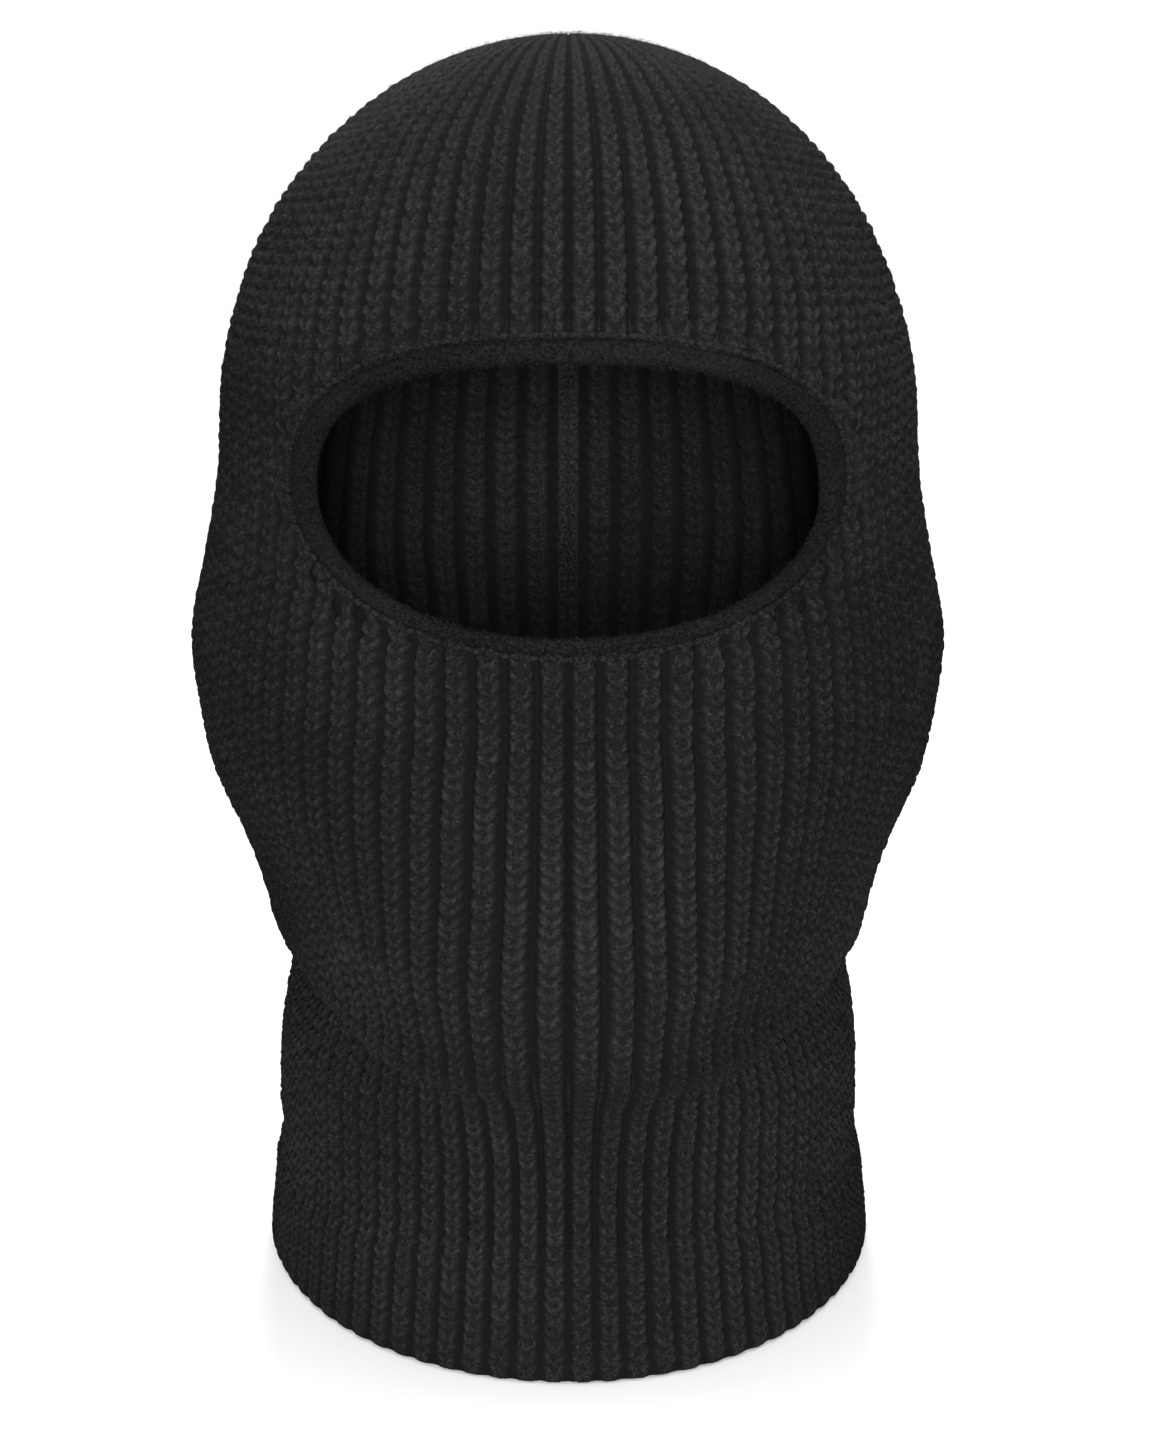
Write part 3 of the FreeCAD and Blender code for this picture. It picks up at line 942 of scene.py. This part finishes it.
def knot(material):
    """Overhand knot inside the crown with two short tails."""
    centre = np.array([0, GATHER[1] - 0.7 * MM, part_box("crown_knot")[1].z - KNOT_DOWN])
    t = circle(120)
    path = KNOT_SIZE * (
        np.outer(np.sin(t) + 1.9 * np.sin(2 * t), SIDE)
        + np.outer(np.cos(t) - 1.9 * np.cos(2 * t), THIRD)
        + np.outer(-1.1 * np.sin(3 * t), AXIS)
    )
    builder = Builder()
    plied(builder, centre + path, 0.95 * MM, 11, closed=True)
    s = np.linspace(0, 1, 26)
    for way in (-1, 1):
        tail = (way * (1.2 + 4.2 * s ** 1.3), 0.6 + 0.9 * np.sin(3 * s), -0.6 - 13.6 * s)
        plied(builder, centre + np.stack(tail, axis=1) * MM, 0.9 * MM, 4)
    builder.finish("crown_knot_yarn", material, "crown_knot")


# ---- seams inside ----
def back_line(low, high, count, inset):
    """Points down the middle of the back, inset from the inner face, with outward normals."""
    courses = np.linspace(FIRST_COURSE, TOP_COURSE, 400)
    grid = lay(INNER, RIBS / 2 + np.linspace(-0.3, 0.3, 3), courses)
    normal = outward(grid, False)[:, 1]
    line = grid[:, 1]
    inside = (line[:, 2] > low) & (line[:, 2] < high) & (line[:, 1] > 0)
    line, normal = line[inside], normal[inside]
    along = lengths_along(line)
    at = np.linspace(0, along[-1], count)
    line = read_off(line, along, at) * (0, 1, 1)
    normal = unit(read_off(normal, along, at) * (0, 1, 1))
    return line - normal * inset, normal, along[-1]


RIDGE_HALF = 1.0 * MM  # half thickness of the seam allowance, before its bumps
RIDGE_BUMP = 0.22 * MM
RIDGE_TAPER = 3 * MM  # length over which each end of it runs out


def seam_ridge(material):
    """The seam allowance: a low ribbed ridge with rounded edges."""
    low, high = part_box("back_seam_allowance")
    half = (high.x - low.x) / 2 - 0.4 * MM
    line, normal, length = back_line(low.z + 0.5 * MM, high.z - 1 * MM, 560, RIDGE_HALF)
    turn = circle(20)
    wide = squared(np.cos(turn), 0.6)
    thick = squared(np.sin(turn), 0.8)
    at = np.linspace(0, length, len(line))[:, None]
    bumps = RIDGE_BUMP * np.abs(np.cos(math.pi * at / COURSE + 0.9 * wide))
    swell = np.clip(np.minimum(at, length - at) / RIDGE_TAPER, 0.05, 1) ** 0.5
    side_part = wide * (half + bumps) * swell
    out_part = thick * (RIDGE_HALF + bumps) * swell
    rings = line[:, None, :] + side_part[..., None] * SIDE + out_part[..., None] * normal[:, None, :]
    builder = Builder()
    builder.grid(rings, False)
    builder.finish("back_seam_ridge", material, "back_seam_allowance")


LOOP_HALF = 2.7 * MM  # half width of an overlock loop, how far its ends dip, its radius
LOOP_DIP = 0.9 * MM
LOOP_RADIUS = 0.28 * MM
CHAIN_IN = 0.45 * MM  # how far the middle chain lies over the loops, and its radius
CHAIN_RADIUS = 0.42 * MM


def seam_thread(material):
    """Overlock thread: loops across the ridge and a chain down its middle."""
    low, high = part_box("back_seam_thread")
    line, normal, _ = back_line(low.z + 1 * MM, high.z - 1 * MM, 84, 2.1 * MM)
    s = np.linspace(-1, 1, 7)
    builder = Builder()
    for place, after, out in zip(line[:-1], line[1:], normal[:-1]):
        along = after - place
        for way in (-1, 1):
            path = place + np.outer(s * LOOP_HALF, SIDE) + np.outer(0.5 * way * s + 0.5, along)
            builder.tube(path + np.outer(s ** 4 * LOOP_DIP, out), LOOP_RADIUS, 6)
        length = np.linalg.norm(along) * 1.15
        builder.grain(place + along / 2 - out * CHAIN_IN, unit(along), length, CHAIN_RADIUS)
    builder.finish("back_seam_overlock", material, "back_seam_thread")


def hem_chain(material):
    """Linking chain that holds the hem's inner layer, all round the inside."""
    count = 176
    ribs = np.linspace(0, RIBS, count, endpoint=False)
    grid = lay(INNER, ribs, HEM_COURSE + np.array([-0.2, 0, 0.2]))
    normal = outward(grid, True)[1]
    line = grid[1]
    builder = Builder()
    for k in range(count):
        along = unit(line[(k + 1) % count] - line[k - 1])
        lean = unit(along + np.array([0, 0, 0.28 * (-1) ** k]))
        builder.grain(line[k] - normal[k] * 0.75 * MM, lean, 3.1 * MM, 0.5 * MM)
    builder.finish("hem_linking_chain", material, "hem_linking_thread")


# ---- the label ----
PLY = 0.28 * MM
RIPPLE = 0.06 * MM


def ribbon(name, line, width, material):
    """Closed thin strip: a (y, z) line with the ply's thickness, as wide as width."""
    line = np.asarray(line, float)
    ahead = unit(np.gradient(line, axis=0))
    off = np.stack((-ahead[:, 1], ahead[:, 0]), axis=1) * PLY / 2
    rings = []
    for x in np.linspace(-width / 2, width / 2, 25):
        edge = 0.8 if abs(x) > width / 2 - 0.1 * MM else 1.0
        ring = np.concatenate([line + off * edge, (line - off * edge)[::-1]])
        ring[:, 0] += RIPPLE * math.sin(x * 700)
        rings.append(np.column_stack([np.full(len(ring), x), ring]))
    builder = Builder()
    builder.grid(np.array(rings), False)
    return builder.made(name, material)


def care_label(material):
    """Folded ribbon: two plies that meet under the hinge line, folded at the bottom."""
    low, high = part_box("care_label")
    fold = (high.y - low.y) / 2 - PLY / 2
    middle_y = middle("care_label")[1]
    centre_z = low.z + fold + PLY / 2
    heights = np.linspace(high.z, low.z + fold + PLY, 12)
    line = [(middle_y + fold, z) for z in heights]
    for angle in np.linspace(0, math.pi, 9):
        line.append((middle_y + fold * math.cos(angle), centre_z - fold * math.sin(angle)))
    line += [(middle_y - fold, z) for z in heights[::-1]]
    piece = ribbon("care_label_ribbon", line, high.x - low.x, material)
    finish_piece(piece, body="label", stands_for=("care_label",))


def label_margin(material):
    """The sewn end of the same ribbon."""
    low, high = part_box("label_margin")
    line = [(middle("label_margin")[1], z) for z in np.linspace(high.z, low.z, 6)]
    piece = ribbon("label_margin_ribbon", line, high.x - low.x, material)
    finish_piece(piece, stands_for=("label_margin",))


def label_stitches(material):
    """The row of stitches that holds the label."""
    builder = Builder()
    low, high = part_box("label_stitches")
    pitch = (high.x - low.x) / 5.6
    for k in range(6):
        centre = middle("label_stitches") + (k - 2.5) * pitch * SIDE
        builder.grain(centre, SIDE, 0.6 * pitch, 0.3 * MM)
    builder.finish("label_stitching", material, "label_stitches")


# ---- materials ----
def set_inputs(tree, node, **inputs):
    """Sets a node's named inputs, or links them where a socket is given."""
    for name, value in inputs.items():
        socket = node.inputs[name.replace("_", " ")]
        if isinstance(value, bpy.types.NodeSocket):
            tree.links.new(value, socket)
        else:
            socket.default_value = value
    return node


def add_node(tree, kind, **inputs):
    return set_inputs(tree, tree.nodes.new("ShaderNode" + kind), **inputs)


def new_material(name):
    """A material, its node tree and its main shader."""
    material = bpy.data.materials.new(name)
    material.use_nodes = True
    return material, material.node_tree, material.node_tree.nodes["Principled BSDF"]


def colour_ramp(tree, source, *stops):
    """Colours between two stops, each a place and a colour."""
    ramp = add_node(tree, "ValToRGB", Fac=source)
    for element, (place, colour) in zip(ramp.color_ramp.elements, stops):
        element.position = place
        element.color = colour
    return ramp.outputs["Color"]


def bump(tree, source, strength, distance):
    node = add_node(tree, "Bump", Strength=strength, Distance=distance, Height=source)
    return node.outputs["Normal"]


def grey(value, blue=1.06):
    """A grey whose blue is a little stronger than its red and green."""
    return (value, value, value * blue, 1.0)


PATCH_SHARE = 0.25  # how much slow patches count beside the fine speckle


def yarn_material(name, dark, light, fibre, rough, fuzz):
    """Acrylic yarn: speckled charcoal with painted shade down in the stitches, and fine fibres as bump.
    """
    material, tree, shader = new_material(name)
    place = add_node(tree, "TexCoord").outputs["Object"]
    speckle = add_node(tree, "TexNoise", Vector=place, Scale=1500.0, Detail=3.0, Roughness=0.7)
    patch = add_node(tree, "TexNoise", Vector=place, Scale=18.0, Detail=2.0)
    mixed = add_node(tree, "Math")
    mixed.operation = "MULTIPLY_ADD"
    tree.links.new(patch.outputs["Fac"], mixed.inputs[0])
    mixed.inputs[1].default_value = PATCH_SHARE
    tree.links.new(speckle.outputs["Fac"], mixed.inputs[2])
    colour = colour_ramp(tree, mixed.outputs[0], (0.50, grey(dark)), (0.76, grey(light, 1.10)))
    # painted shade: each point's shade value mixes the colour towards a darker grey, most down between
    # the ribs and strands
    depth = add_node(tree, "Attribute")
    depth.attribute_name = "painted_shade"
    painted_shade_colour = grey(dark * 1.2, 0.95)
    shadow = add_node(tree, "MixRGB", Fac=depth.outputs["Fac"], Color1=colour, Color2=painted_shade_colour)
    stretched = add_node(tree, "Mapping", Vector=place, Scale=(1.0, 1.0, 0.35), Rotation=(0.3, 0.5, 0.2))
    strands = add_node(
        tree, "TexNoise", Vector=stretched.outputs[0], Scale=fibre, Detail=5.0, Roughness=0.7
    )
    set_inputs(
        tree, shader,
        Base_Color=shadow.outputs["Color"],
        Normal=bump(tree, strands.outputs["Fac"], fuzz, 0.5 * MM),
        Roughness=rough,
        Sheen_Weight=0.003,
        Sheen_Roughness=0.5,
        Sheen_Tint=(0.85, 0.88, 1.0, 1.0),
        Specular_IOR_Level=0.0,
    )
    return material


def satin_material():
    """Blank woven label: fine satin ribs across, a little gloss."""
    material, tree, shader = new_material("label_satin")
    place = add_node(tree, "TexCoord").outputs["Object"]
    wave = add_node(tree, "TexWave", Vector=place, Scale=900.0, Distortion=0.6, Detail=2.0)
    wave.bands_direction = "Z"
    colour = colour_ramp(tree, wave.outputs["Color"], (0.0, grey(0.34, 1.02)), (1.0, grey(0.46, 1.02)))
    set_inputs(
        tree, shader,
        Base_Color=colour,
        Normal=bump(tree, wave.outputs["Fac"], 0.35, 0.1 * MM),
        Roughness=0.42,
        Sheen_Weight=0.2,
    )
    return material


# ---- stage ----
FLOOR_HALF = 8.0


def stage():
    """Plain pale floor, wide enough to run out of sight."""
    material, tree, shader = new_material("pale_backdrop")
    set_inputs(tree, shader, Base_Color=(0.34, 0.34, 0.34, 1), Roughness=0.9)
    corners = ((-1, -1), (1, -1), (1, 1), (-1, 1))
    points = [(x * FLOOR_HALF, y * FLOOR_HALF, CAD_BOX[0].z) for x, y in corners]
    floor = mesh_object("pale_floor", points, [(0, 1, 2, 3)], material)


# name, place, target, width and height, watts, spread in degrees
AREA_LIGHTS = (
    ("key_strip", (0, -1.0, 0.12), (0, -0.05, -0.06), (0.10, 0.50), 2.25, 26),
    ("crown_light", (0, 0.35, 1.20), (0, 0.01, 0.08), (0.08, 0.08), 0.38, 8),
    ("back_light", (0, 1.4, 0.25), (0, 0, -0.06), (0.40, 0.40), 2.4, 40),
)


def aimed(name, data, place, target):
    """Puts a light or a camera at place, turned to the target."""
    made = put(name, data)
    made.location = place
    made.rotation_euler = (Vector(target) - Vector(place)).to_track_quat("-Z", "Y").to_euler()
    return made


def lights():
    """A wide softbox overhead, three small lights and an even white surround."""
    sun = bpy.data.lights.new("overhead_softbox", "SUN")
    sun.angle = math.radians(75)
    sun.energy = 6.6
    put("overhead_softbox", sun).rotation_euler = (math.radians(3), 0, 0)
    for name, place, target, size, power, spread in AREA_LIGHTS:
        data = bpy.data.lights.new(name, "AREA")
        data.shape = "RECTANGLE"
        data.size, data.size_y = size
        data.energy = power
        data.spread = math.radians(spread)
        aimed(name, data, place, target)
    world = bpy.data.worlds.new("studio")
    world.use_nodes = True
    set_inputs(world.node_tree, world.node_tree.nodes["Background"], Color=(1, 1, 1, 1), Strength=1.0)
    bpy.context.scene.world = world


def camera():
    """A little above eye level in front, looking down at the mask."""
    data = bpy.data.cameras.new("camera")
    data.sensor_width = 36
    data.lens = 76.1
    data.shift_x = 0.005
    bpy.context.scene.camera = aimed("camera", data, (0, -0.720, 0.134), (0, 0, -0.073))


def main():
    knit = yarn_material("charcoal_rib_knit", 0.0018, 0.0092, 2400.0, 0.90, 0.8)
    trim = yarn_material("charcoal_trim", 0.0010, 0.0043, 3000.0, 0.92, 0.8)
    yarn = yarn_material("charcoal_yarn", 0.0020, 0.0100, 2200.0, 0.88, 0.6)
    thread = yarn_material("black_thread", 0.0015, 0.0062, 4200.0, 0.70, 0.3)
    hair = yarn_material("stray_fibre", 0.0030, 0.0100, 2600.0, 0.80, 0.1)
    satin = satin_material()
    outer, guide = knit_tube(knit)
    hem_ring(knit)
    knit_fuzz(outer, guide, hair)
    band_fuzz(hair)
    eye_band(trim)
    linking(thread)
    join_tack(thread)
    draw_yarn(yarn)
    knot(yarn)
    seam_ridge(knit)
    seam_thread(thread)
    hem_chain(thread)
    care_label(satin)
    label_margin(satin)
    label_stitches(thread)
    stage()
    lights()
    camera()
    bpy.context.scene.view_settings.view_transform = "Standard"


main()
